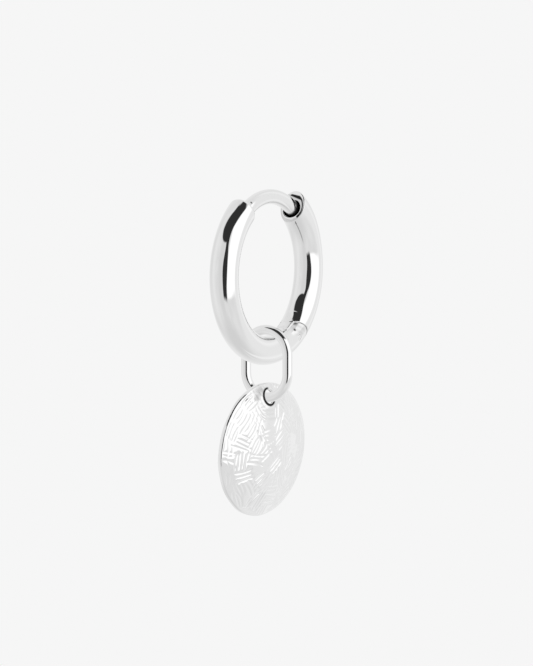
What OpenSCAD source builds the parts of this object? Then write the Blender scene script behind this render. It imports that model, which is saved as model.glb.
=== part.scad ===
// Huggie earring: hinged tube ring, bare ear post, oblong link and hammered disc.
// Millimetres, +Z up. The origin is the middle of the ear post, where the earring hangs in the lobe.
// The ring lies in the XZ plane with its gate towards +X and its seen face towards -Y.
// Angles round the ring are counted from +X towards +Z, about the ring's centre.

/* [Ring] */
// Outer diameter of the closed ring
ring_d = 13.0; // [12.6:0.1:14]
// Diameter of the ring's round tube
tube_d = 2.04; // [1.96:0.02:2.1]
// Angle of the left shoulder, where the tube ends and the bare post begins
shoulder_angle = 123.7; // [120:0.1:128]
// Lean of the shoulder's end face, inner side receding
shoulder_lean = 7; // [0:0.5:10]
// Rounding of the shoulder's rim
shoulder_round = 0.28; // [0.1:0.02:0.4]

/* [Ear post] */
// Diameter of the ear wire
post_d = 1.04; // [0.8:0.02:1.1]
// Distance of the wire's axis from the ring's centre
post_line = 5.31; // [5.26:0.01:5.4]
// Offset of the wire towards the seen face
post_front = 0.08; // [0:0.01:0.1]
// Angle at which the wire's rounded tip ends, inside the gate's socket
post_tip_angle = 49.6; // [49:0.1:53]
// Rounding of the tip
post_tip_round = 0.2; // [0.1:0.02:0.4]
// Angle of tube that the wire is seated in at the shoulder
seat_angle = 11; // [8:0.5:16]
// Width of the gap round the seated wire, which keeps it a piece of its own
seat_gap = 0.02; // [0.01:0.005:0.04]

/* [Gate] */
// Angle of the middle of the gate's slanted end face
gate_angle = 51.7; // [50:0.1:53]
// Slant of that face, outer side reaching further over the post
gate_lean = 19.5; // [10:0.5:22]
// Diameter of the socket that takes the post's tip
socket_d = 1.45; // [1.4:0.01:1.48]
// Depth of the socket
socket_depth = 0.8; // [0.5:0.05:0.9]
// Distance of the socket's axis from the ring's centre
socket_line = 5.35; // [5.33:0.01:5.38]
// Lean of the socket's axis from the tube's direction
socket_lean = 10; // [5:1:14]
// Width of the eased rim round the socket
socket_rim = 0.12; // [0.05:0.01:0.14]

/* [Hinge] */
// Angle of the hinge pin round the ring
hinge_angle = -60; // [-62:0.5:-58]
// Thickness of the gate's tongue between the two cheeks
tongue_w = 0.94; // [0.7:0.02:1]
// Clearance on each side of the tongue
tongue_gap = 0.05; // [0.03:0.01:0.08]
// Clearance round the tongue's end, in the slot between the cheeks
slot_gap = 0.07; // [0.05:0.01:0.1]
// Length of the neck that joins the tongue to the gate's tube
neck_len = 1.4; // [1.3:0.05:1.6]
// Reach of the neck towards the outer side of the ring
neck_outer = 0.35; // [0.2:0.05:0.4]
// Clearance between the knuckle and the gate's hollowed end
knuckle_gap = 0.05; // [0.05:0.01:0.08]
// Shift of a second, wider hollow to the outer side, which lets the gate swing open
swing_relief = 0.06; // [0.05:0.01:0.1]
// Radius that this second hollow has beyond the first
relief_extra = 0.03; // [0.02:0.01:0.06]
// Diameter of the hinge pin
pin_d = 0.4; // [0.3:0.02:0.5]
// Radial clearance of the pin in the gate's tongue, which turns on it
pin_run_gap = 0.03; // [0.02:0.005:0.05]
// Radial gap of the pin in the two cheeks, which hold it
pin_seat_gap = 0.005; // [0.005:0.005:0.01]
// Depth of the pin's ends below the knuckle's sides
pin_inset = 0.03; // [0.03:0.01:0.1]

/* [Link] */
// Diameter of the link's wire
wire_d = 0.7; // [0.6:0.02:0.74]
// Half width of the link, to the middle of its wire, which is also its ends' radius
link_half_w = 1.72; // [1.7:0.01:1.8]
// Half height of the link, to the middle of its wire
link_half_h = 2.375; // [2.3:0.005:2.6]
// Play between the link and the top of the ring's tube that it hangs on
link_play = 0.06; // [0.03:0.01:0.1]

/* [Disc] */
// Diameter of the disc
disc_d = 9.5; // [9:0.1:9.6]
// Thickness of the disc
disc_t = 0.3; // [0.24:0.02:0.4]
// Radius of the shallow dome that the disc is beaten to, bulging to its seen face
dome_r = 12; // [10:0.5:40]
// Diameter of the hole for the link
hole_d = 1.06; // [1.04:0.02:1.2]
// Metal left between the hole and the disc's rim
hole_margin = 0.44; // [0.4:0.01:0.6]
// Rise of the hole's top above the link's wire
hole_play = 0.23; // [0.2:0.01:0.25]
// Place of the hole along the wire, towards the seen face
disc_front = 0.16; // [0.1:0.02:0.3]
// Lean of the hanging disc, lower rim towards the back
disc_lean = 4.25; // [0:0.25:5]
// Turn of the hanging disc about the vertical
disc_turn = -5.6; // [-6:0.1:5]

/* [Hidden] */

tube_r = tube_d / 2;
post_r = post_d / 2;
pin_r = pin_d / 2;
wire_r = wire_d / 2;
hole_r = hole_d / 2;
ring_line = ring_d / 2 - tube_r;
silver = [0.85, 0.85, 0.84];

// Length that reaches past anything being cut, and angle drawn past a tube's cut end
past = 2;
spare_angle = 5;
// Angle of the gap beyond the wire's seated end
seat_end_angle = 1;

// Hinge: radius of the round ends of the cheeks and the tongue about the pin, a little more than
// the tube's, and angle of tube drawn past the pin before its round end is cut
knuckle_extra = 0.01;
knuckle_r = tube_r + knuckle_extra;
knuckle_angle = 15;

// Heights below the ring's centre
link_z = -(ring_line - tube_r) + link_play + wire_r - link_half_h;
wire_z = link_z - link_half_h;
hole_z = wire_z + wire_r + hole_play - hole_r;

// Dome: its rim's circle and the hole's place, on the middle of the metal
rim_r = (disc_d - disc_t) / 2;
rim_angle = asin(rim_r / dome_r);
dome_centre = dome_r * cos(rim_angle);
hole_from_centre = disc_d / 2 - hole_margin - hole_r;
hole_angle = asin(hole_from_centre / dome_r);
hole_rise = dome_r * cos(hole_angle) - dome_centre;

// Number of sides of the dome, and of other large and small rounds
round_dome = 360;
round_fine = 96;
round_small = 48;

// Moves from a frame at the ring's centre to the part's own frame
module from_ring_centre() {
    translate([0, 0, -post_line]) children();
}

// Local frame on the ring: x away from its centre, y to the back, z along the tube
module on_ring(angle, radius) {
    translate([radius * cos(angle), 0, radius * sin(angle)])
        rotate([0, -angle, 0])
            children();
}

// Stretch of round tube along the ring
module ring_tube(start, end, radius, section_r) {
    rotate([90, 0, 0])
        rotate([0, 0, start])
            rotate_extrude(angle = end - start, $fn = round_fine)
                translate([radius, 0])
                    circle(r = section_r, $fn = round_small);
}

// Cylinder across the ring, centred on the hinge pin's axis
module hinge_cylinder(r, width) {
    on_ring(hinge_angle, ring_line)
        rotate([90, 0, 0])
            cylinder(r = r, h = width, center = true, $fn = round_fine);
}

// Half outline of a bar end, square below and rounded at its upper rim
module rounded_end_outline(r, edge) {
    square([r - edge, past]);
    translate([0, edge])
        square([r, past - edge]);
    translate([r - edge, edge])
        circle(r = edge, $fn = round_small);
}

// What is cut away to leave a rounded end at z = 0, with the metal above it
module end_cutter(r, edge) {
    rotate_extrude($fn = round_fine)
        difference() {
            translate([0, -past])
                square([r + past / 4, past + edge]);
            intersection() {
                square([r + past, past]);
                rounded_end_outline(r, edge);
            }
        }
}

// What is cut away past the hinge pin to leave the tube with a round end
module knuckle_cutter() {
    difference() {
        on_ring(hinge_angle, ring_line)
            translate([-past, -past, 0])
                cube([2 * past, 2 * past, past]);
        hinge_cylinder(knuckle_r, 3 * past);
    }
}

// Fixed half of the ring, with its two hinge cheeks and the post's seat
module hoop() {
    color(silver)
        from_ring_centre()
            difference() {
                ring_tube(shoulder_angle - spare_angle, 360 + hinge_angle + knuckle_angle,
                          ring_line, tube_r);
                knuckle_cutter();
                on_ring(shoulder_angle, ring_line)
                    rotate([0, shoulder_lean, 0])
                        end_cutter(tube_r, shoulder_round);
                translate([0, -post_front, 0])
                    ring_tube(shoulder_angle - spare_angle,
                              shoulder_angle + seat_angle + seat_end_angle,
                              post_line, post_r + seat_gap);
                hinge_cylinder(knuckle_r + slot_gap, tongue_w + 2 * tongue_gap);
                hinge_cylinder(pin_r + pin_seat_gap, tube_d + past);
            }
}

// Bare ear wire: seated in the shoulder, rounded where it meets the socket
module ear_post() {
    color(silver)
        from_ring_centre()
            translate([0, -post_front, 0])
                difference() {
                    ring_tube(post_tip_angle - spare_angle, shoulder_angle + seat_angle,
                              post_line, post_r);
                    on_ring(post_tip_angle, post_line)
                        end_cutter(post_r, post_tip_round);
                }
}

// Room of the tongue: a round plate about the pin and its neck into the tube
module tongue() {
    hinge_cylinder(knuckle_r, tongue_w);
    on_ring(hinge_angle, ring_line)
        translate([-past, -tongue_w / 2, 0])
            cube([past + neck_outer, tongue_w, neck_len]);
}

// Hollow in the gate's end, round the cheeks, a little wider on its outer side and open below
module knuckle_hollow() {
    hinge_cylinder(knuckle_r + knuckle_gap, tube_d + past);
    on_ring(hinge_angle, ring_line + swing_relief)
        rotate([90, 0, 0])
            cylinder(r = knuckle_r + knuckle_gap + relief_extra, h = tube_d + past,
                     center = true, $fn = round_fine);
    on_ring(hinge_angle, ring_line)
        translate([-past, -past, -past])
            cube([2 * past, 2 * past, past]);
}

// Blind socket for the post's tip, with a flared rim
module socket() {
    flare = 3 * socket_rim;
    on_ring(gate_angle, socket_line)
        rotate([0, -socket_lean, 0]) {
            translate([0, 0, -socket_depth])
                cylinder(d = socket_d, h = socket_depth + past, $fn = round_fine);
            translate([0, 0, -socket_rim])
                cylinder(r1 = socket_d / 2, r2 = socket_d / 2 + flare, h = flare,
                         $fn = round_fine);
        }
}

// Hinged half of the ring, with the slanted socket end at its top
module gate() {
    color(silver)
        from_ring_centre()
            difference() {
                ring_tube(hinge_angle - knuckle_angle, gate_angle + spare_angle, ring_line, tube_r);
                difference() {
                    knuckle_hollow();
                    tongue();
                }
                on_ring(gate_angle, ring_line)
                    rotate([0, -gate_lean, 0])
                        cylinder(r = tube_d, h = past, $fn = round_fine);
                socket();
                hinge_cylinder(pin_r + pin_run_gap, tube_d + past);
            }
}

// Pin through both cheeks and the tongue
module hinge_pin() {
    color(silver)
        from_ring_centre()
            hinge_cylinder(pin_r, tube_d - 2 * pin_inset);
}

// Oblong link of two round ends and two straight sides
module link() {
    straight = 2 * (link_half_h - link_half_w);
    color(silver)
        from_ring_centre()
            translate([0, 0, link_z])
                rotate([90, 0, 90])
                    union() {
                        for (end = [0, 180])
                            rotate([0, 0, end])
                                translate([0, straight / 2, 0])
                                    rotate_extrude(angle = 180, $fn = round_fine)
                                        translate([link_half_w, 0])
                                            circle(r = wire_r, $fn = round_small);
                        for (side = [-1, 1])
                            translate([side * link_half_w, 0, 0])
                                rotate([90, 0, 0])
                                    cylinder(r = wire_r, h = straight, center = true,
                                             $fn = round_small);
                    }
}

// Half outline of the domed disc, its rim's middle at height 0
module disc_outline() {
    translate([0, -dome_centre])
        intersection() {
            difference() {
                circle(r = dome_r + disc_t / 2, $fn = round_dome);
                circle(r = dome_r - disc_t / 2, $fn = round_dome);
            }
            square([disc_d / 2, dome_r + past]);
        }
}

// Thin domed plate that hangs by a hole near its rim
module disc() {
    color(silver)
        from_ring_centre()
            translate([0, -disc_front, hole_z])
                rotate([disc_lean, 0, disc_turn])
                    translate([0, hole_rise, -hole_from_centre])
                        rotate([90, 0, 0])
                            difference() {
                                rotate_extrude($fn = round_fine)
                                    disc_outline();
                                translate([0, 0, -dome_centre])
                                    rotate([-hole_angle, 0, 0])
                                        translate([0, 0, dome_r])
                                            cylinder(r = hole_r, h = past, center = true,
                                                     $fn = round_fine);
                            }
}

hoop();
ear_post();
gate();
hinge_pin();
link();
disc();
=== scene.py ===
import math
import time

import bpy
import numpy as np
from mathutils import Matrix, Vector


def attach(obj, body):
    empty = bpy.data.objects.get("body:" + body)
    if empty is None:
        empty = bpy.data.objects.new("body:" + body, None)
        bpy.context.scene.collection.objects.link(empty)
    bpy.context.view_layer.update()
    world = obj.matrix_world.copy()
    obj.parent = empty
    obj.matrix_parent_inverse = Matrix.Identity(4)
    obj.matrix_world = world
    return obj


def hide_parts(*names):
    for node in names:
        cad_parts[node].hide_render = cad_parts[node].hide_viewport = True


started = time.time()
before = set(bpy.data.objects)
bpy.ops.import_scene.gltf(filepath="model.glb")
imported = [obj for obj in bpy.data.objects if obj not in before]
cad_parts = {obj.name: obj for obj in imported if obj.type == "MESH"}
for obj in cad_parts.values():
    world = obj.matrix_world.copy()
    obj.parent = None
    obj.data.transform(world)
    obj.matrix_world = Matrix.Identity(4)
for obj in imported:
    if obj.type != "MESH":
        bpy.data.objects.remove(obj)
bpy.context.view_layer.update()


def report(text):
    print(f"[{time.time() - started:5.1f} s] {text}")


report("frame loaded")

# Each piece is a shape in millimetres about the ring's centre: a function from points to their
# distance from its surface. A fine skin is laid over that surface where the CAD piece stands, so
# the silver's reflections run smoothly.
ringCentre = np.array([0.0, 0.0, -5.31])   # where the ring's centre lies, in the frame's axes
perMetre = 1000             # millimetres


# rounded joint of two shapes: what lies in both, with r the radius of the edge between them
def roundMax(a, b, r):
    return np.minimum(np.maximum(a, b), -r) + np.hypot(np.maximum(a + r, 0), np.maximum(b + r, 0))


# the same for what lies in either
def roundMin(a, b, r):
    return -roundMax(-a, -b, r)


# 0 before the start and 1 after the end: eased between them, and straight
def ease(value, start, end):
    t = np.clip((value - start) / (end - start), 0, 1)
    return t * t * (3 - 2 * t)


def ramp(value, start, length):
    return np.clip((value - start) / length, 0, 1)


# local x away from the ring's centre, y to the back, z along the tube
def ringFrame(p, angle, radius, lean=0.0):
    turn, tilt = math.radians(angle), math.radians(lean)
    out = np.array([math.cos(turn), 0, math.sin(turn)])
    along = np.array([-math.sin(turn), 0, math.cos(turn)])
    q = p - radius * out
    x = q @ (math.cos(tilt) * out - math.sin(tilt) * along)
    z = q @ (math.sin(tilt) * out + math.cos(tilt) * along)
    return x, p[:, 1], z


# degrees round the ring, from its right side upwards
def ringAngle(p):
    return np.degrees(np.arctan2(p[:, 2], p[:, 0]))


def ringTube(p, line, r, front=0.0):
    return np.hypot(np.hypot(p[:, 0], p[:, 2]) - line, p[:, 1] + front) - r


# a soft round spot, 1 in its middle and 0 from its radius on
def spot(p, middle, radius, power=2.0):
    away = np.linalg.norm((p - np.array(middle)) / np.array(radius), axis=1)
    return np.clip(1 - away ** power, 0, 1)


# the ring's tube and the hinge are shared by hoop and gate
ring = {"line": 5.48, "tube": 1.02}
hinge = {
    "angle": -60.0,
    "knuckle": 1.03,        # round ends of the cheeks and the tongue
    "slot": 1.10,
    "slotHalf": 0.52,
    "tongueHalf": 0.47,
    "neckOut": 0.35,
    "neckLength": 1.4,
    "hollow": 1.08,
    "relief": 1.11,
    "reliefShift": 0.06,
    "pinBore": 0.205,
    "tongueBore": 0.23,
    "edge": 0.03,           # radius of the sawn edges
    "lip": 0.04,            # radius of the round end's edges
}


def hingeRadius(p, shift=0.0):
    x, _, z = ringFrame(p, hinge["angle"], ring["line"] + shift)
    return np.hypot(x, z)


post = {
    "line": 5.31,
    "r": 0.52,
    "front": 0.08,
    "tip": 49.6,            # degrees round the ring, as the seat's end is
    "tipRound": 0.2,
    "seat": 134.7,
    "seatRound": 0.03,
    # a painted shadow dot where the wire leaves the shoulder, and its size
    "shoulderShadow": (-2.612, -0.392, 5.062),
    "shoulderShadowSize": (0.09, 0.11, 0.13),
    "socketShadeFrom": (0.22, 0.5),        # heights over the gate's end face where the painted shade in the socket fades out
    "socketShadeLevel": 0.95,
    "cell": 0.035,
}


def postShape(p):
    d = ringTube(p, post["line"], post["r"], post["front"])
    _, _, tip = ringFrame(p, post["tip"], post["line"])
    _, _, seat = ringFrame(p, post["seat"], post["line"])
    return roundMax(roundMax(d, -tip, post["tipRound"]), seat, post["seatRound"])


# height over the gate's slanted end face
def aboveFace(p):
    _, y, z = ringFrame(p, gate["end"], ring["line"], gate["lean"])
    return z + gate["sway"] * y - gate["proud"]


# a painted shadow dot where the wire leaves the shoulder, and painted shade where its tip sits in
# the socket
def postShade(p):
    tip = post["socketShadeLevel"] * (1 - ease(aboveFace(p), *post["socketShadeFrom"]))
    return np.maximum(tip, spot(p, post["shoulderShadow"], post["shoulderShadowSize"]))


hoop = {
    "shoulder": 123.7,      # where the tube ends and the bare wire begins
    "lean": 7.0,
    "round": 0.28,
    "bore": 0.54,
    "boreEnd": 1.0,         # degrees of bore past the wire's end
    "boreEdge": 0.02,
    # a painted dark dot on the knuckle, painted shade, and its radius
    "darkDot": (2.412, -0.797, -4.203),
    "darkDotSize": 0.14,
    "linkShade": (-0.85, -0.6, -4.57),     # where the link hangs: painted shade standing in for its reflection on the tube
    "linkShadeSize": (1.3, 0.24, 0.16),
    "linkShadePower": 1.5,
    "linkShadeLevel": 0.5,
    "dull": (2.85, -0.86, -4.05),    # the knuckle is less polished and streaked
    "dullSize": (0.9, 0.6, 0.75),
    "dullShade": 0.2,
    "streaks": (9.0, 14.0),
    "streakShare": 0.3,
    # painted shade along the hinge's gap, fading over this width
    "gapShade": 0.25,
    "gapFade": 0.08,
    "cell": 0.045,
}
aside = 5.0                 # a distance that leaves a shape untouched


def hoopShape(p):
    d = ringTube(p, ring["line"], ring["tube"])
    _, _, z = ringFrame(p, hoop["shoulder"], ring["line"], hoop["lean"])
    upper = p[:, 2] > 0
    d = roundMax(d, np.where(upper, -z, -aside), hoop["round"])
    # the wire's seat
    _, _, end = ringFrame(p, post["seat"] + hoop["boreEnd"], post["line"])
    bore = ringTube(p, post["line"], hoop["bore"], post["front"])
    d = roundMax(d, -np.maximum(bore, np.where(upper, end, aside)), hoop["boreEdge"])
    # round knuckle, its slot and the pin's bore
    _, y, z = ringFrame(p, hinge["angle"], ring["line"])
    y, h = np.abs(y), hingeRadius(p)
    d = roundMax(d, np.minimum(z, h - hinge["knuckle"]), hinge["lip"])
    d = roundMax(d, -np.maximum(h - hinge["slot"], y - hinge["slotHalf"]), hinge["edge"])
    return roundMax(d, hinge["pinBore"] - h, hinge["edge"])


# a painted dark dot in the dull knuckle, painted shade where the link hangs, and painted shade
# along the hinge's gap
def hoopShadeAndTarnish(p):
    streak = np.sin(p[:, 0] * hoop["streaks"][0] + p[:, 2] * hoop["streaks"][1])
    dull = hoop["dullShade"] * (1 + hoop["streakShare"] * streak)
    dull = dull * spot(p, hoop["dull"], hoop["dullSize"])
    _, _, z = ringFrame(p, hinge["angle"], ring["line"])
    gap = 1 - ease(hinge["knuckle"] - hingeRadius(p), 0.0, hoop["gapFade"])
    gap = hoop["gapShade"] * gap * (z > 0)
    linkShade = hoop["linkShadeLevel"] * spot(p, hoop["linkShade"], hoop["linkShadeSize"], hoop["linkShadePower"])
    return np.maximum.reduce([gap, linkShade, dull, spot(p, hoop["darkDot"], hoop["darkDotSize"])])


gate = {
    "end": 51.7,
    "lean": -19.5,
    "edge": 0.1,
    "sway": 0.17,           # the end face stands further out on the seen side
    "proud": 0.09,
    # painted shade that darkens the end face a little
    "faceShade": 0.22,
    "bandRise": 0.85,       # painted dark band over the face, a painted reflection: its height, slant and half width
    "bandSlant": 0.25,
    "bandHalf": 0.1,
    "bandWiden": -0.07,
    "bandFade": (-0.03, 0.02),
    "bandBack": (0.3, 0.42),        # it fades out towards the back and at the tube's skin
    "bandRim": (0.98, 1.02),
    "rimLine": 0.93,        # it goes on as a fine painted dark line down the near side
    "rimHalf": 0.05,
    "rimFade": (-0.01, 0.03),
    "rimSide": -0.6,
    "innerLine": -0.395,        # fine dark line along the inner side: place, half width, course
    "innerLineHalf": 0.012,
    "innerLineFade": 0.025,
    "innerLineAlong": (20, 30, 46, 48),
    "innerLineDarkness": 0.55,
    "swell": 0.065,         # the tube grows towards the socket, on its outer side
    "swellFrom": (8.0, 46.0),
    "socket": 0.66,
    "socketLine": 5.33,
    "socketLean": -10.0,
    "socketDepth": 0.8,
    "socketRim": 0.05,
    # the socket's painted black shade fades in over this width at its rim
    "socketFade": 0.03,
    "socketShadeDepth": 1.0,      # the socket is painted black down to here, as its shade
    "lip": 0.8,             # short collar round the socket: radius and height
    "lipHeight": 0.155,
    "lipEdge": 0.04,
    # painted shade along the hinge's gap: level, fade and the side it keeps to
    "gapShade": 0.45,
    "gapFade": (0.02, 0.1),
    "gapSide": (-0.4, 0.0),
    "cell": 0.0365,
}


def gateTube(p):
    swell = gate["swell"] * ease(ringAngle(p), *gate["swellFrom"])
    return ringTube(p, ring["line"] + swell, ring["tube"] + swell)


# the socket sits as far to the front as the wire does
def socketFrame(p):
    x, y, z = ringFrame(p, gate["end"], gate["socketLine"], gate["socketLean"])
    return x, y + post["front"], z


def gateShape(p):
    tube = gateTube(p)
    # hollowed end round the knuckle, and the tongue that turns on the pin
    x, y, z = ringFrame(p, hinge["angle"], ring["line"])
    y, h = np.abs(y), hingeRadius(p)
    wide = hingeRadius(p, hinge["reliefShift"]) - hinge["relief"]
    hollow = np.minimum(h - hinge["hollow"], wide)
    d = roundMax(np.maximum(tube, -z), -hollow, hinge["lip"])
    neck = np.maximum.reduce([x - hinge["neckOut"], z - hinge["neckLength"], -z])
    tongue = roundMax(tube, np.minimum(h - hinge["knuckle"], neck), hinge["lip"])
    tongue = roundMax(tongue, y - hinge["tongueHalf"], hinge["edge"])
    d = roundMin(d, tongue, hinge["edge"])
    d = roundMax(d, hinge["tongueBore"] - h, hinge["edge"])
    # slanted end face and the socket for the wire
    d = roundMax(d, aboveFace(p), gate["edge"])
    x, y, z = socketFrame(p)
    lip = roundMax(np.hypot(x, y) - gate["lip"], z - gate["lipHeight"], gate["lipEdge"])
    lip = np.maximum.reduce([lip, tube + gate["lipEdge"], -gate["socketDepth"] - z])
    d = roundMin(d, lip, gate["lipEdge"] / 2)
    socket = np.maximum(np.hypot(x, y) - gate["socket"], -gate["socketDepth"] - z)
    return roundMax(d, -socket, gate["socketRim"])


# painted reflection and shade: a dark band over the end face, a fine dark line down its near rim,
# and the face a little darker
def endFaceShade(p):
    x, y, _ = ringFrame(p, gate["end"], ring["line"], gate["lean"])
    out, high = np.hypot(x, y), np.abs(aboveFace(p))
    face, middle = high < gate["edge"], high < gate["edge"] / 2
    belowBand = x < gate["bandRise"] + gate["bandSlant"] * y
    half = gate["bandHalf"] + gate["bandWiden"] * y
    away = np.abs(x - gate["bandRise"] - gate["bandSlant"] * y) - half
    darkBand = (1 - ease(away, *gate["bandFade"])) * face * (1 - ease(y, *gate["bandBack"]))
    darkBand = darkBand * (1 - ease(out, *gate["bandRim"]))
    rim = 1 - ease(np.abs(out - gate["rimLine"]) - gate["rimHalf"], *gate["rimFade"])
    rim = rim * face * (y < gate["rimSide"]) * (x < gate["bandRise"])
    return np.maximum.reduce([darkBand, rim, gate["faceShade"] * middle * belowBand])


def innerLineMark(p):
    angle, y = ringAngle(p), p[:, 1]
    start, full, fade, end = gate["innerLineAlong"]
    line = 1 - ease(np.abs(y - gate["innerLine"]) - gate["innerLineHalf"], 0.0, gate["innerLineFade"])
    line = line * (np.hypot(p[:, 0], p[:, 2]) < ring["line"])
    return gate["innerLineDarkness"] * line * ease(angle, start, full) * (1 - ease(angle, fade, end))


# painted black shade inside the socket, the face's painted reflection and shade, the fine inner
# line, and painted shade along the hinge's gap
def gateShadeAndLine(p):
    x, y, z = socketFrame(p)
    inside = 1 - ease(np.hypot(x, y) - gate["socket"], 0.0, gate["socketFade"])
    inside = inside * (z > -gate["socketShadeDepth"])
    x, _, z = ringFrame(p, hinge["angle"], ring["line"])
    gap = 1 - ease(hingeRadius(p) - hinge["hollow"], *gate["gapFade"])
    gap = gate["gapShade"] * gap * (z > 0) * ease(x, *gate["gapSide"])
    return np.maximum.reduce([inside, endFaceShade(p), innerLineMark(p), gap])


pin = {"r": 0.2, "half": 0.99, "round": 0.03, "cell": 0.03}


def pinShape(p):
    return roundMax(hingeRadius(p) - pin["r"], np.abs(p[:, 1]) - pin["half"], pin["round"])


link = {"middle": -6.425, "halfWidth": 1.72, "straight": 0.655, "wire": 0.35, "cell": 0.035}


def linkShape(p):
    z = p[:, 2] - link["middle"]
    up = z - np.clip(z, -link["straight"], link["straight"])
    return np.hypot(np.hypot(p[:, 1], up) - link["halfWidth"], p[:, 0]) - link["wire"]


# The disc: a shallow dome, struck all over with patches of short chasing strokes
disc = {
    "r": 4.75,
    "t": 0.3,
    "dome": 12.0,
    "rimRound": 0.1,
    "rimWave": 0.035,       # the beaten rim wavers in and out, so many times round
    "rimWaves": (5, 13),
    "hole": 0.53,
    "holeMargin": 0.44,
    "holeRound": 0.05,
    "plainRim": (0.05, 0.25),       # bare metal by the rim and by the hole, and how far from
    "plainHole": (0.2, 0.25),       # there to the strokes' full depth
    "front": 0.16,
    "lean": 4.25,
    "turn": -5.6,
    "holeHeight": -8.75,
    "bevel": 0.676,         # the hole's worn bevel is wider on its left and lower side
    "bevelShift": (-0.11, -0.02),
    "bevelSlope": 8.0,      # how much wider than deep it is
    "bevelShade": (80, 105, 310, 335),      # where the painted black shade comes in and goes, round the hole
    "bevelFade": (-0.02, 0.03),
    "bevelDeep": -0.12,     # heights from the seen face, here and in the next lines
    "backDeep": -0.22,
    "frontDeep": -0.15,
    # painted shade at the back of the hole: its level and fade
    "backShade": 0.8,
    "backFade": (0.03, 0.06),
    "cell": 0.0465,
}
# two grey patches by the hole, painted reflections: shade, place to the right and up, half width
# and height
holeReflections = [(0.35, -0.95, 0.45, 0.9, 0.4), (0.4, -1.35, 0.0, 0.4, 0.3)]

domeCentre = disc["dome"] * math.cos(math.asin((disc["r"] - disc["t"] / 2) / disc["dome"]))
holeFrom = disc["r"] - disc["holeMargin"] - disc["hole"]
holeTilt = math.asin(holeFrom / disc["dome"])
holeRise = disc["dome"] * math.cos(holeTilt) - domeCentre
holeAxis = np.array([0, math.sin(holeTilt), math.cos(holeTilt)])
holeUp = np.array([0, math.cos(holeTilt), -math.sin(holeTilt)])
discPlace = np.array(
    Matrix.Translation((0, -disc["front"], disc["holeHeight"]))
    @ Matrix.Rotation(math.radians(disc["turn"]), 4, "Z")
    @ Matrix.Rotation(math.radians(disc["lean"]), 4, "X")
    @ Matrix.Translation((0, holeRise, -holeFrom))
    @ Matrix.Rotation(math.radians(90), 4, "X"))
discInverse = np.linalg.inv(discPlace)

strokes = {
    "cell": 0.01,
    "half": 4.8,            # the chart reaches this far from the disc's middle
    "length": 1.0,
    "pitch": 0.3,
    "halfWidth": 0.15,
    "taper": 0.3,
    "bend": 0.06,
    "depth": 0.06,
    "soften": 0.032,
    "lengths": (0.75, 1.1),         # share of these sizes that a stroke may have
    "widths": (0.85, 1.15),
    "depths": (0.75, 1.15),
    "sidePlay": 0.04,       # how far the hand strays: sideways, along the stroke, in degrees
    "slidePlay": 0.12,
    "turnPlay": 6,
    "reach": 0.8,           # half size of the part of the chart that one stroke changes
    "shade": 0.16,          # tarnish left in the strokes
    "seed": 7,
}
# fainter patches that fill the rest
filling = {
    "half": 4.4,
    "spacing": 0.85,
    "play": 0.15,
    "angles": [-50, -5, 40, 85],
    "turnPlay": 12,
    "gap": 0.75,
    "count": 3,
    "force": 0.55,
    "forces": (0.7, 1.2),
}
# slow unevenness left by the planishing, drawn at every so many cells of the chart
planishing = {"depth": 0.012, "length": 0.7, "step": 20, "soften": 12}
# place of a patch on the unrolled face, angle of its strokes, their number and their force
patches = [
    (0.9, 0.8, 33, 4, 1), (0.35, -1.0, 39, 3, 1.1), (-1.1, -1.95, 39, 3, 1), (-2.7, -1.6, 13, 3, 1),
    (2.4, -1.2, 50, 4, 1), (0.7, 2.15, 55, 3, 1), (0.45, 2.95, 70, 2, 1), (-0.5, 1.1, 8, 4, 1),
    (-1.9, 0.5, 58, 4, 1), (-3.0, 0.8, -22, 4, 1), (-4.2, 0.7, 88, 3, 1), (-3.85, 1.55, 62, 4, 1),
    (-3.3, 3.0, 48, 3, 1), (-2.15, 3.5, 28, 4, 1), (-2.6, 2.3, 48, 4, 1), (-2.4, 1.7, 50, 4, 1),
    (-1.55, 2.65, -55, 4, 1), (-1.6, 1.9, 70, 2, 1), (-1.3, 1.4, -65, 3, 1), (-3.1, -0.5, 90, 4, 1),
    (-1.65, -0.45, -8, 3, 1), (-1.35, -3.2, 40, 2, 1), (-0.6, -3.6, 60, 3, 1),
    (2.3, 0.65, -3, 3, 0.6), (3.35, 0.7, 90, 3, 0.6), (2.45, -0.3, -10, 3, 0.6),
    (-4.1, -1.7, -78, 3, 0.6), (-2.9, -2.5, -55, 3, 0.6), (-1.7, -2.5, -50, 3, 0.6),
    (0.3, -2.5, -5, 4, 0.6), (0.4, -3.6, -8, 3, 0.6), (2.0, -3.0, 35, 3, 0.6),
    (2.4, -3.5, 30, 3, 0.6), (1.35, -2.3, -60, 3, 0.6), (3.2, -1.3, 45, 3, 0.6),
    (-0.4, 2.6, 0, 3, 0.6), (2.3, 2.2, 30, 3, 0.5), (-0.9, 3.4, 5, 3, 0.6),
]


def soften(field, width):
    reach = np.arange(-int(4 * width), int(4 * width) + 1)
    soft = np.exp(-0.5 * (reach / width) ** 2)
    soft /= soft.sum()
    for axis in (0, 1):
        field = np.apply_along_axis(lambda line: np.convolve(line, soft, "same"), axis, field)
    return field


# the patches above, and fainter ones wherever none of them is near
def allPatches(rng):
    jobs = list(patches)
    rows = np.arange(-filling["half"], filling["half"], filling["spacing"])
    play = filling["play"]
    for v in rows:
        for u in rows:
            cu, cv = u + rng.uniform(-play, play), v + rng.uniform(-play, play)
            angle = rng.choice(filling["angles"])
            angle = angle + rng.uniform(-filling["turnPlay"], filling["turnPlay"])
            if min(math.hypot(cu - a[0], cv - a[1]) for a in jobs) > filling["gap"]:
                force = filling["force"] * rng.uniform(*filling["forces"])
                jobs.append((cu, cv, angle, filling["count"], force))
    return jobs


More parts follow.
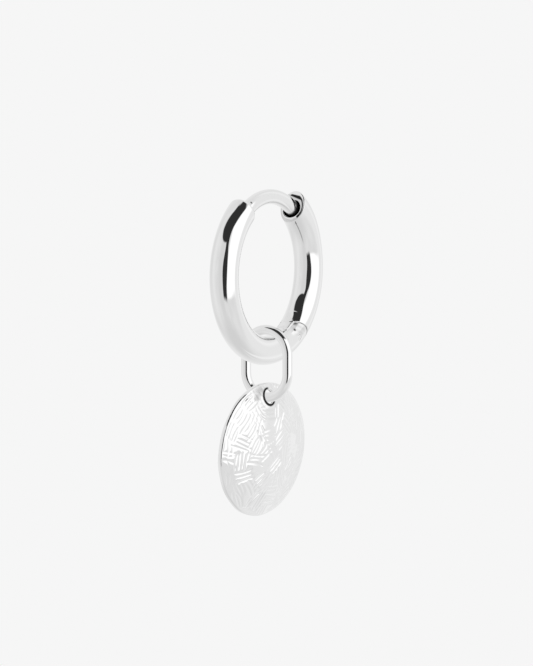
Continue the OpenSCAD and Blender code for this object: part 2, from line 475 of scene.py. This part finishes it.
# a patch's strokes side by side, each struck a little differently
def strike(depth, axis, rng, patch):
    cu, cv, angle, count, force = patch
    a = math.radians(angle)
    for k in range(count):
        off = (k - (count - 1) / 2) * strokes["pitch"]
        off += rng.uniform(-strokes["sidePlay"], strokes["sidePlay"])
        turn = a + math.radians(rng.uniform(-strokes["turnPlay"], strokes["turnPlay"]))
        half = strokes["length"] / 2 * rng.uniform(*strokes["lengths"])
        slide = rng.uniform(-strokes["slidePlay"], strokes["slidePlay"])
        su = cu - math.sin(a) * off + math.cos(a) * slide
        sv = cv + math.cos(a) * off + math.sin(a) * slide
        lo = np.searchsorted(axis, [su - strokes["reach"], sv - strokes["reach"]])
        hi = np.searchsorted(axis, [su + strokes["reach"], sv + strokes["reach"]])
        uu, vv = np.meshgrid(axis[lo[0]:hi[0]] - su, axis[lo[1]:hi[1]] - sv)
        along = uu * math.cos(turn) + vv * math.sin(turn)
        across = -uu * math.sin(turn) + vv * math.cos(turn)
        across = across + strokes["bend"] * rng.uniform(-1, 1) * (along / half) ** 2
        past = np.maximum(np.abs(along) - half, 0) * strokes["taper"]
        away = np.hypot(past, across) / (strokes["halfWidth"] * rng.uniform(*strokes["widths"]))
        stroke = strokes["depth"] * force * rng.uniform(*strokes["depths"])
        box = depth[lo[1]:hi[1], lo[0]:hi[0]]
        np.maximum(box, stroke * np.maximum(1 - away, 0), out=box)


def planished(rng, n):
    step = planishing["step"]
    coarse = rng.normal(size=(int(n / step) + 2,) * 2)
    wave = soften(coarse, planishing["length"] / strokes["cell"] / (2 * step))
    place = np.arange(n) / step
    i = place.astype(int)
    t = ease(place - i, 0, 1)
    wave = wave[i] * (1 - t)[:, None] + wave[i + 1] * t[:, None]
    wave = wave[:, i] * (1 - t) + wave[:, i + 1] * t
    wave = soften(wave, planishing["soften"])
    return planishing["depth"] * (wave - wave.min()) / (wave.max() - wave.min())


# depth of the strokes over the unrolled face
def chasedRelief():
    n = int(2 * strokes["half"] / strokes["cell"]) + 1
    depth = np.zeros((n, n))
    axis = np.linspace(-strokes["half"], strokes["half"], n)
    rng = np.random.default_rng(strokes["seed"])
    for patch in allPatches(rng):
        strike(depth, axis, rng, patch)
    return soften(depth, strokes["soften"] / strokes["cell"]) + planished(rng, n)


relief = chasedRelief()
report("strokes charted")


# the chart's depth at places given in the disc's own axes, q from its rim's middle, c from the
# dome's centre
def reliefAt(q, c):
    rho = np.hypot(q[:, 0], q[:, 1])
    unroll = np.arctan2(rho, c[:, 2]) * disc["dome"] / np.maximum(rho, 1e-9)
    n = relief.shape[0] - 2
    x = np.clip((q[:, 0] * unroll + strokes["half"]) / strokes["cell"], 0, n)
    y = np.clip((q[:, 1] * unroll + strokes["half"]) / strokes["cell"], 0, n)
    i, j = x.astype(int), y.astype(int)
    x, y = x - i, y - j
    return ((relief[j, i] * (1 - x) + relief[j, i + 1] * x) * (1 - y)
            + (relief[j + 1, i] * (1 - x) + relief[j + 1, i + 1] * x) * y)


# places in the disc's own axes, and how far right of the hole and above it they are
def discFrame(p):
    q = p @ discInverse[:3, :3].T + discInverse[:3, 3]
    c = q + np.array([0, 0, domeCentre])
    return q, c, c[:, 0], c @ holeUp


# distance from the middle of the worn bevel, and height from the seen face
def bevelFrame(c, right, up):
    height = c @ holeAxis - disc["dome"] - disc["t"] / 2
    return np.hypot(right - disc["bevelShift"][0], up - disc["bevelShift"][1]), height


def discShape(p):
    q, c, right, up = discFrame(p)
    rho, fromCentre = np.hypot(q[:, 0], q[:, 1]), np.linalg.norm(c, axis=1)
    hole = np.hypot(right, up) - disc["hole"]
    cut = ramp(disc["r"] - rho, *disc["plainRim"]) * ramp(hole, *disc["plainHole"])
    outer = fromCentre - disc["dome"] - disc["t"] / 2 + reliefAt(q, c) * cut
    inner = disc["dome"] - disc["t"] / 2 - fromCentre
    turn = np.arctan2(q[:, 1], q[:, 0])
    few, many = disc["rimWaves"]
    wave = disc["rimWave"] * (0.5 + 0.25 * np.sin(few * turn + 1) + 0.25 * np.sin(many * turn))
    rim = roundMax(outer, rho - disc["r"] + wave, disc["rimRound"])
    d = roundMax(rim, np.maximum(inner, -disc["t"]), disc["rimRound"])
    d = roundMax(d, -hole, disc["holeRound"])
    away, height = bevelFrame(c, right, up)
    cone = away - disc["bevel"] - disc["bevelSlope"] * height
    return roundMax(d, -cone / math.hypot(1, disc["bevelSlope"]), disc["holeRound"] / 2)


# painted black shade in the bevel's left and lower side and at the back of the hole, the painted
# grey reflections by the hole, and a little tarnish in the strokes
def discShadeAndTarnish(p):
    q, c, right, up = discFrame(p)
    away, height = bevelFrame(c, right, up)
    angle = np.degrees(np.arctan2(up, right)) % 360
    start, full, fade, end = disc["bevelShade"]
    side = ease(angle, start, full) * (1 - ease(angle, fade, end))
    bevel = (1 - ease(away - disc["bevel"], *disc["bevelFade"])) * side
    bevel = bevel * (height > disc["bevelDeep"])
    back = 1 - ease(np.hypot(right, up) - disc["hole"], *disc["backFade"])
    back = disc["backShade"] * back * (height < disc["backDeep"])
    reflected = sum(
        shade * np.clip(1 - np.hypot((right - x) / width, (up - y) / high) ** 2, 0, 1)
        for shade, x, y, width, high in holeReflections)
    struck = np.clip((reliefAt(q, c) - planishing["depth"]) / strokes["depth"], 0, 1)
    front = height > disc["frontDeep"]
    return np.maximum.reduce([bevel, back, reflected * front, strokes["shade"] * struck * front])


# how a skin is laid and drawn to its shape, in millimetres
laying = {
    "margin": 0.4,          # searched round the CAD piece
    "step": 0.004,          # for the slope of a shape
    "flattest": 0.25,
    "longest": 0.03,        # move in one round
    "rounds": 6,
    "relaxings": 2,
    "relaxShare": 0.5,
    "relaxRounds": 3,
}


def slope(shape, p):
    g, step = np.empty_like(p), laying["step"]
    for k in range(3):
        off = np.zeros(3)
        off[k] = step
        g[:, k] = (shape(p + off) - shape(p - off)) / (2 * step)
    return g


# draws points to the surface along the slope
def settle(shape, p, rounds):
    for _ in range(rounds):
        g = slope(shape, p)
        d = shape(p)
        move = d[:, None] * g / np.maximum((g * g).sum(1), laying["flattest"])[:, None]
        length = np.linalg.norm(move, axis=1)
        p = p - move * np.minimum(1, laying["longest"] / np.maximum(length, 1e-9))[:, None]
    return p


# closed skin of squares through the cells that a shape's surface crosses
def skin(shape, low, high, cell):
    count = np.ceil((high - low) / cell).astype(int) + 1
    x, y, z = (low[k] + cell * np.arange(count[k]) for k in range(3))
    across, upward = (axis.ravel() for axis in np.meshgrid(y, z, indexing="ij"))
    slabs = [shape(np.stack([np.full(len(across), a), across, upward], 1)) < 0 for a in x]
    inside = np.array(slabs).reshape(count)
    corners = np.zeros(count - 1, int)
    for i, j, k in np.ndindex(2, 2, 2):
        corners += inside[i:count[0] - 1 + i, j:count[1] - 1 + j, k:count[2] - 1 + k]
    crossed = (corners > 0) & (corners < 8)
    number = np.cumsum(crossed.ravel()).reshape(crossed.shape) - 1
    squares = []
    for axis in range(3):
        order = [axis, (axis + 1) % 3, (axis + 2) % 3]
        held, cells = inside.transpose(order), number.transpose(order)
        i, j, k = np.nonzero(held[1:, 1:-1, 1:-1] != held[:-1, 1:-1, 1:-1])
        square = np.stack([cells[i, j, k], cells[i, j + 1, k], cells[i, j + 1, k + 1],
                           cells[i, j, k + 1]], 1)
        inward = ~held[i, j + 1, k + 1]
        square[inward] = square[inward][:, ::-1]
        squares.append(square)
    return low + (np.argwhere(crossed) + 0.5) * cell, np.concatenate(squares)


# evens out the squares: each point goes part of the way to its neighbours' middle
def relax(shape, mesh, p):
    edges = np.empty(len(mesh.edges) * 2, int)
    mesh.edges.foreach_get("vertices", edges)
    a, b = edges.reshape(-1, 2).T
    share = np.bincount(np.concatenate([a, b]), minlength=len(p))[:, None]
    for _ in range(laying["relaxings"]):
        mean = np.zeros_like(p)
        for k in range(3):
            mean[:, k] = np.bincount(a, p[b, k], len(p)) + np.bincount(b, p[a, k], len(p))
        p = settle(shape, p + laying["relaxShare"] * (mean / share - p), laying["relaxRounds"])
    return p


def finePiece(name, node, body, slotName, shape, cell, material, tarnishAndShade=None):
    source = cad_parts[node].data
    co = np.empty(len(source.vertices) * 3)
    source.vertices.foreach_get("co", co)
    co = co.reshape(-1, 3) * perMetre - ringCentre
    p, squares = skin(shape, co.min(0) - laying["margin"], co.max(0) + laying["margin"], cell)
    p = settle(shape, p, laying["rounds"])
    fine = bpy.data.meshes.new(name)
    fine.from_pydata(p.tolist(), [], squares.tolist())
    p = relax(shape, fine, p)
    normals = slope(shape, p)
    normals /= np.linalg.norm(normals, axis=1)[:, None]
    fine.vertices.foreach_set("co", ((p + ringCentre) / perMetre).ravel())
    fine.update()
    fine.shade_smooth()
    fine.normals_split_custom_set_from_vertices(normals)
    fine.materials.append(material)
    # darkening per point: painted shade and reflections, and tarnish
    shade = np.clip(tarnishAndShade(p), 0, 1) if tarnishAndShade else np.zeros(len(p))
    fine.attributes.new("tarnishAndShade", "FLOAT", "POINT").data.foreach_set("value", shade)
    piece = bpy.data.objects.new(name, fine)
    bpy.context.scene.collection.objects.link(piece)
    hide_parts(node)
    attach(piece, body)
    fine.calc_loop_triangles()
    left = np.abs(shape(p)).max()
    report(f"{name}: {len(fine.loop_triangles)} triangles, within {left:.4f} mm of its shape")
    return piece


def linear(code):
    parts = [int(code[i:i + 2], 16) / 255 for i in (1, 3, 5)]
    return tuple(c / 12.92 if c <= 0.04045 else ((c + 0.055) / 1.055) ** 2.4 for c in parts)


# adds a node: links by socket, in_ settings for sockets, points for a curve, else properties
def addNode(tree, kind, links=None, points=None, **settings):
    node = tree.nodes.new(kind)
    for key, value in settings.items():
        if key.startswith("in_"):
            name = key[3:].replace("_", " ")
            node.inputs[int(name) if name.isdigit() else name].default_value = value
        else:
            setattr(node, key, value)
    for socket, source in (links or {}).items():
        tree.links.new(source, node.inputs[socket])
    if points:
        curve = node.mapping.curves[0]
        for place, level in points[1:-1]:
            curve.points.new(place, level)
        curve.points[0].location, curve.points[-1].location = points[0], points[-1]
        node.mapping.update()
    return node


# Where the silver is tarnished, and where shade is painted into it, it turns dark and dull.
# Polishing leaves a fine unevenness, this high in metres.
finish = {
    "tarnishAndShadeColour": "#262626",
    "tarnishAndShadeRoughness": 0.45,
    "grainDetail": 3.0,
    "grainHeight": 0.00001,
}


# grain is the unevenness' size in millimetres, and spread how much the gloss varies with it
def silver(name, colour, roughness, spread, grain, bump):
    material = bpy.data.materials.new(name)
    material.use_nodes = True
    tree = material.node_tree
    shader = tree.nodes["Principled BSDF"]
    shader.inputs["Metallic"].default_value = 1
    place = addNode(tree, "ShaderNodeTexCoord").outputs["Object"]
    noise = addNode(tree, "ShaderNodeTexNoise", {"Vector": place}, in_Scale=perMetre / grain,
                    in_Detail=finish["grainDetail"]).outputs["Fac"]
    dark = addNode(tree, "ShaderNodeAttribute", attribute_name="tarnishAndShade").outputs["Fac"]
    tone = addNode(tree, "ShaderNodeMix", {"Factor": dark}, data_type="RGBA",
                   in_6=(*linear(colour), 1), in_7=(*linear(finish["tarnishAndShadeColour"]), 1))
    gloss = addNode(tree, "ShaderNodeMapRange", {"Value": noise},
                    in_To_Min=roughness - spread, in_To_Max=roughness + spread)
    dull = addNode(tree, "ShaderNodeMix", {"Factor": dark, "A": gloss.outputs["Result"]},
                   data_type="FLOAT", in_B=finish["tarnishAndShadeRoughness"])
    uneven = addNode(tree, "ShaderNodeBump", {"Height": noise}, in_Strength=bump,
                     in_Distance=finish["grainHeight"])
    tree.links.new(tone.outputs[2], shader.inputs["Base Color"])
    tree.links.new(dull.outputs["Result"], shader.inputs["Roughness"])
    tree.links.new(uneven.outputs["Normal"], shader.inputs["Normal"])
    return material


# 925 silver, cast and mirror polished: near white with crisp reflections of the tent
polishedSilver = silver("polishedSterlingSilver", "#f5f5f5", 0.035, 0.015, 0.5, 0.02)
# 925 silver wire, drawn and tumbled: a touch greyer, its reflections a little softer
drawnSilver = silver("drawnSilverEarWire", "#f3f3f3", 0.05, 0.02, 0.3, 0.02)
# 925 silver sheet, chased by hand and buffed: bright, with softer glints along the strokes
chasedSilver = silver("chasedSterlingSilver", "#f5f5f5", 0.06, 0.02, 0.4, 0.02)

pieces = [
    ("hoopSilver", "hoop", "ring_half", "polished_silver", hoopShape, hoop["cell"],
     polishedSilver, hoopShadeAndTarnish),
    ("postWire", "ear_post", "ring_half", "ear_wire_silver", postShape, post["cell"],
     drawnSilver, postShade),
    ("gateSilver", "gate", "gate_half", "polished_silver", gateShape, gate["cell"],
     polishedSilver, gateShadeAndLine),
    ("pinWire", "hinge_pin", "ring_half", "ear_wire_silver", pinShape, pin["cell"],
     drawnSilver),
    ("linkWire", "link", "drop_link", "polished_silver", linkShape, link["cell"],
     polishedSilver),
    ("discSilver", "disc", "drop_disc", "hammered_silver", discShape, disc["cell"],
     chasedSilver, discShadeAndTarnish),
]
made = {piece[0]: finePiece(*piece) for piece in pieces}
# the photograph's silver is lit by the tent alone: these don't show in their neighbours' polish
for name in ("hoopSilver", "postWire", "linkWire", "discSilver"):
    made[name].visible_glossy = False

# the photograph's viewpoint; it is fitted, so its frame sits a little down and left
view = {
    "right": Vector((0.53919, -0.84219, 0)),
    "up": Vector((0.08133, 0.05207, 0.99533)),
    "toCamera": Vector((-0.83825, -0.53667, 0.09657)),
    "lens": 385.9,
    "sensor": 36,
    "reach": 20,
    "distance": 0.5,
    "down": 0.004254,
    "left": 0.000016,
}
right, up, toCamera = view["right"], view["up"], view["toCamera"]
cameraData = bpy.data.cameras.new("camera")
cameraData.lens = view["lens"]
cameraData.sensor_width = view["sensor"]
cameraData.clip_end = view["reach"]
camera = bpy.data.objects.new("camera", cameraData)
bpy.context.scene.collection.objects.link(camera)
place = Vector(ringCentre) / perMetre + toCamera * view["distance"]
place -= up * view["down"] + right * view["left"]
camera.matrix_world = (Matrix.Translation(place)
                       @ Matrix((right, up, toCamera)).transposed().to_4x4())
bpy.context.scene.camera = camera
report("camera placed")

# A photographer's light tent, set out by direction from the earring: azimuth is counted from
# the photograph's viewpoint to the right, height from its horizontal
studio = {
    "cloth": (0.745, 0.825),        # level of the tent's cloth, between its folds
    "folds": 2.2,
    "foldDetail": 3.5,
    "foldRange": (0.3, 0.7),
    "backdrop": 0.9216,
    "floor": "#f6f6f6",
    "floorHalf": 6.0,
    "floorHeight": -0.045,
}
# level, the limits of azimuth and height in degrees, and the softness of the four edges
panels = [
    (0.69, (-400, 400, -100, -57), (1, 1, 1, 18)),      # table under the tent
    (0.86, (90, 179.9, -40, 60), (10, 0.1, 20, 20)),
    (0.86, (-179.9, -150, -40, 60), (0.1, 20, 20, 20)),
    (0.85, (-108, -78, -40, 40), (14, 14, 20, 20)),
    (0.71, (-48, -12, -60, 40), (14, 6, 20, 20)),
    (0.93, (123, 135, -70, 60), (5, 5, 15, 15)),        # the cloth's stitched edges
    (0.8, (149, 161, -70, 60), (5, 5, 15, 15)),
]
whiteBox = {
    "level": 1.12,
    "left": 22,
    "right": 94,
    "high": 45,
    "soft": (4, 4, 2, 3),           # left, right, lower and upper edge
}
# The tent's open top and the gap for the camera are dark. Limits that bend are curves: the white
# box's and the top's lower limits by azimuth, then the left and right limits by height
boxLow = [(-180, -29), (15, -29), (30, -27), (52, -21), (70, -14.5), (88, -9), (110, -6),
          (180, -6)]
openTop = [(-180, 46), (-90, 46), (-72, 42.5), (-60, 38.5), (-48, 36), (-30, 33.5), (-10, 31.5),
           (8, 31), (12, 36), (16, 40.5), (29, 44.5), (49, 46), (70, 44), (180, 44)]
openLeft = [(-90, -74), (36, -74), (42, -76), (52, -79), (64, -73), (78, -55), (90, -50)]
gapLeft = [(-90, -11), (-30, -11), (-11, -12.5), (-2, -13.5), (8, -12.5), (15, -10), (24, -8),
           (33, -11), (90, -11)]
gapRight = [(-90, 18), (-20, 19), (-11, 22), (-2, 23), (6, 21.5), (15, 18), (24, 12.5),
            (33, 11), (90, 11)]
dark = {
    "level": 0.03,
    "topRight": 68,
    "topHigh": 84,
    "topSoft": (1.5, 6.0, 4, 4),    # lower, left, right and upper edge
    "gapLow": -32,
    "gapHigh": 36,
    "gapSoft": (1.5, 1.5, 4, 1),    # left, right, lower and upper edge
}

world = bpy.data.worlds.new("studio")
bpy.context.scene.world = world
world.use_nodes = True
tree = world.node_tree
tree.nodes.clear()
direction = addNode(tree, "ShaderNodeTexCoord").outputs["Generated"]
sides = [addNode(tree, "ShaderNodeVectorMath", {0: direction}, operation="DOT_PRODUCT",
                 in_1=tuple(axis)).outputs["Value"] for axis in (right, up, toCamera)]
turn = addNode(tree, "ShaderNodeMath", {0: sides[0], 1: sides[2]}, operation="ARCTAN2")
rise = addNode(tree, "ShaderNodeMath", {0: sides[1]}, operation="ARCSINE")
azimuth, height = (addNode(tree, "ShaderNodeMath", {0: part.outputs[0]}, operation="MULTIPLY",
                           in_1=180 / math.pi).outputs[0] for part in (turn, rise))
halfTurn, quarterTurn = 180, 90         # reach of azimuth and of height


# 0 on one side of a limit and 1 on the other; the limit is a number or a curve's socket
def pastLimit(value, limit, softness, below=False):
    links = {"Value": value}
    if not isinstance(limit, (int, float)):
        gone = addNode(tree, "ShaderNodeMath", {0: value, 1: limit}, operation="SUBTRACT")
        links, limit = {"Value": gone.outputs[0]}, 0
    low, high = (1, 0) if below else (0, 1)
    return addNode(tree, "ShaderNodeMapRange", links, interpolation_type="SMOOTHSTEP",
                   in_From_Min=limit - softness, in_From_Max=limit + softness,
                   in_To_Min=low, in_To_Max=high).outputs["Result"]


# a limit that bends: a curve over a value of this span, whose levels have this scale
def limitCurve(value, span, scale, points):
    share = addNode(tree, "ShaderNodeMapRange", {"Value": value}, in_From_Min=-span,
                    in_From_Max=span)
    spread = [((x + span) / (2 * span), (y + scale) / (2 * scale)) for x, y in points]
    curve = addNode(tree, "ShaderNodeFloatCurve", {"Value": share.outputs["Result"]}, spread)
    return addNode(tree, "ShaderNodeMapRange", {"Value": curve.outputs["Value"]},
                   in_To_Min=-scale, in_To_Max=scale).outputs["Result"]


# lays a level over what is there, where all masks hold
def laid(base, level, masks):
    inside = masks[0]
    for mask in masks[1:]:
        inside = addNode(tree, "ShaderNodeMath", {0: inside, 1: mask},
                         operation="MULTIPLY").outputs[0]
    return addNode(tree, "ShaderNodeMix", {"Factor": inside, "A": base}, data_type="FLOAT",
                   in_B=level).outputs["Result"]


folds = addNode(tree, "ShaderNodeTexNoise", {"Vector": direction}, in_Scale=studio["folds"],
                in_Detail=studio["foldDetail"])
tent = addNode(tree, "ShaderNodeMapRange", {"Value": folds.outputs["Fac"]},
               in_From_Min=studio["foldRange"][0], in_From_Max=studio["foldRange"][1],
               in_To_Min=studio["cloth"][0], in_To_Max=studio["cloth"][1]).outputs["Result"]
for level, (leftEnd, rightEnd, low, high), soft in panels:
    tent = laid(tent, level, [
        pastLimit(azimuth, leftEnd, soft[0]), pastLimit(azimuth, rightEnd, soft[1], True),
        pastLimit(height, low, soft[2]), pastLimit(height, high, soft[3], True)])
soft = whiteBox["soft"]
tent = laid(tent, whiteBox["level"], [
    pastLimit(azimuth, whiteBox["left"], soft[0]),
    pastLimit(azimuth, whiteBox["right"], soft[1], True),
    pastLimit(height, limitCurve(azimuth, halfTurn, quarterTurn, boxLow), soft[2]),
    pastLimit(height, whiteBox["high"], soft[3], True)])
soft = dark["topSoft"]
tent = laid(tent, dark["level"], [
    pastLimit(height, limitCurve(azimuth, halfTurn, quarterTurn, openTop), soft[0]),
    pastLimit(azimuth, limitCurve(height, quarterTurn, quarterTurn, openLeft), soft[1]),
    pastLimit(azimuth, dark["topRight"], soft[2], True),
    pastLimit(height, dark["topHigh"], soft[3], True)])
soft = dark["gapSoft"]
tent = laid(tent, dark["level"], [
    pastLimit(azimuth, limitCurve(height, quarterTurn, quarterTurn, gapLeft), soft[0]),
    pastLimit(azimuth, limitCurve(height, quarterTurn, quarterTurn, gapRight), soft[1], True),
    pastLimit(height, dark["gapLow"], soft[2]),
    pastLimit(height, dark["gapHigh"], soft[3], True)])
seen = addNode(tree, "ShaderNodeLightPath").outputs["Is Camera Ray"]
tent = laid(tent, studio["backdrop"], [seen])
background = addNode(tree, "ShaderNodeBackground", {"Strength": tent}, in_Color=(1, 1, 1, 1))
addNode(tree, "ShaderNodeOutputWorld", {"Surface": background.outputs[0]})

# pale board under the tent, lit evenly, which the silver doesn't mirror
floorMesh = bpy.data.meshes.new("floor")
half, level = studio["floorHalf"], studio["floorHeight"]
corners = [(-half, -half, level), (half, -half, level), (half, half, level), (-half, half, level)]
floorMesh.from_pydata(corners, [], [(0, 1, 2, 3)])
floor = bpy.data.objects.new("floor", floorMesh)
bpy.context.scene.collection.objects.link(floor)
board = bpy.data.materials.new("paleBoard")
board.use_nodes = True
boardShader = board.node_tree.nodes["Principled BSDF"]
boardShader.inputs["Base Color"].default_value = (0, 0, 0, 1)
boardShader.inputs["Specular IOR Level"].default_value = 0
boardShader.inputs["Emission Color"].default_value = (*linear(studio["floor"]), 1)
boardShader.inputs["Emission Strength"].default_value = 1
floorMesh.materials.append(board)
floor.visible_glossy = False
floor.visible_diffuse = False

bpy.context.scene.view_settings.view_transform = "Standard"
report("studio set")
